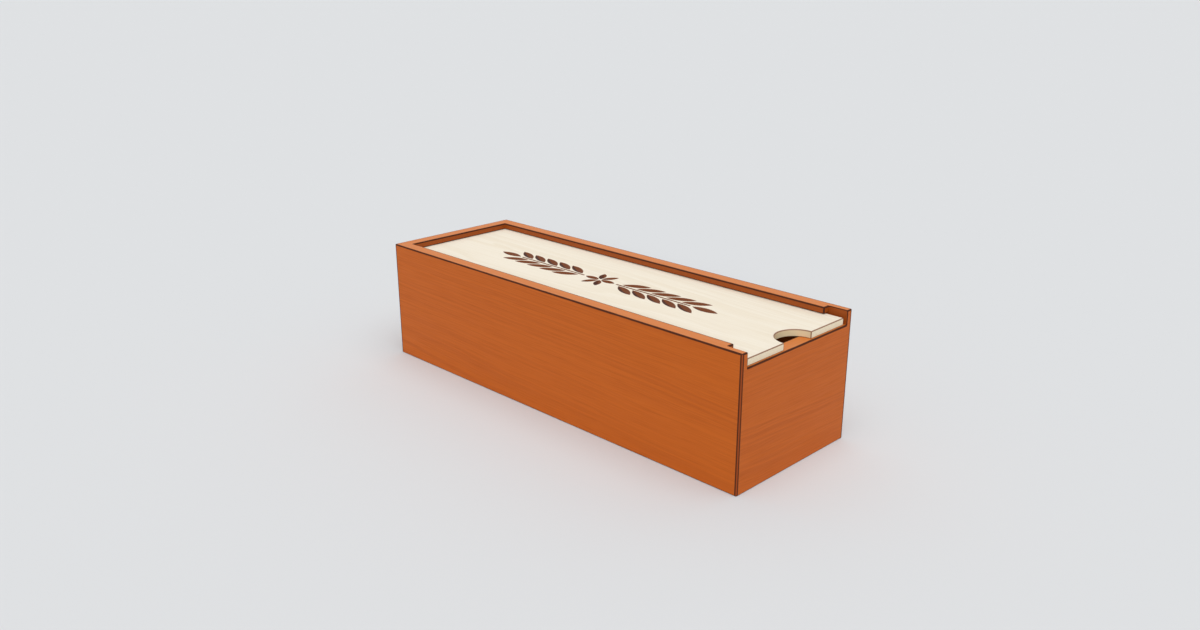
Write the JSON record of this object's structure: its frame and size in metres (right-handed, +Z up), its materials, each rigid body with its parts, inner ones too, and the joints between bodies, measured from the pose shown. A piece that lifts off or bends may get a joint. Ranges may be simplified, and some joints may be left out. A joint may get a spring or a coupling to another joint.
{
  "type": "sliding lid box",
  "caption": "Long low wooden box of mitred boards with a captive bottom and a thin flat lid that slides out over the low end, with a half-round finger notch and a carved leaf ornament.",
  "frame": {"origin": "centre of the box's footprint, on the surface that it stands on", "axes": "+X along the box towards its low end, the way the lid draws out; +Y across the box to the right-hand board as seen from the tall end; +Z up"},
  "size_m": [0.3, 0.1, 0.0795],
  "materials": {
    "stained_wood": "reddish-orange stain under a satin clear coat",
    "pale_wood": "pale close-grained wood, sanded smooth under a matt clear coat",
    "tongue_wood": "bare planed hardwood"
  },
  "bodies": {
    "box": {"side_board_left": "stained_wood", "side_board_right": "stained_wood", "front_board": "stained_wood", "back_board": "stained_wood", "bottom_panel": "stained_wood", "corner_tongue_front_left": "tongue_wood", "corner_tongue_front_right": "tongue_wood", "corner_tongue_back_left": "tongue_wood", "corner_tongue_back_right": "tongue_wood"},
    "lid": {"sliding_lid": "pale_wood"}
  },
  "joints": [
    {"name": "lid_slide", "type": "slide", "parent": "box", "child": "lid", "axis": [1, 0, 0], "range_m": [0, 0.283]}
  ]
}
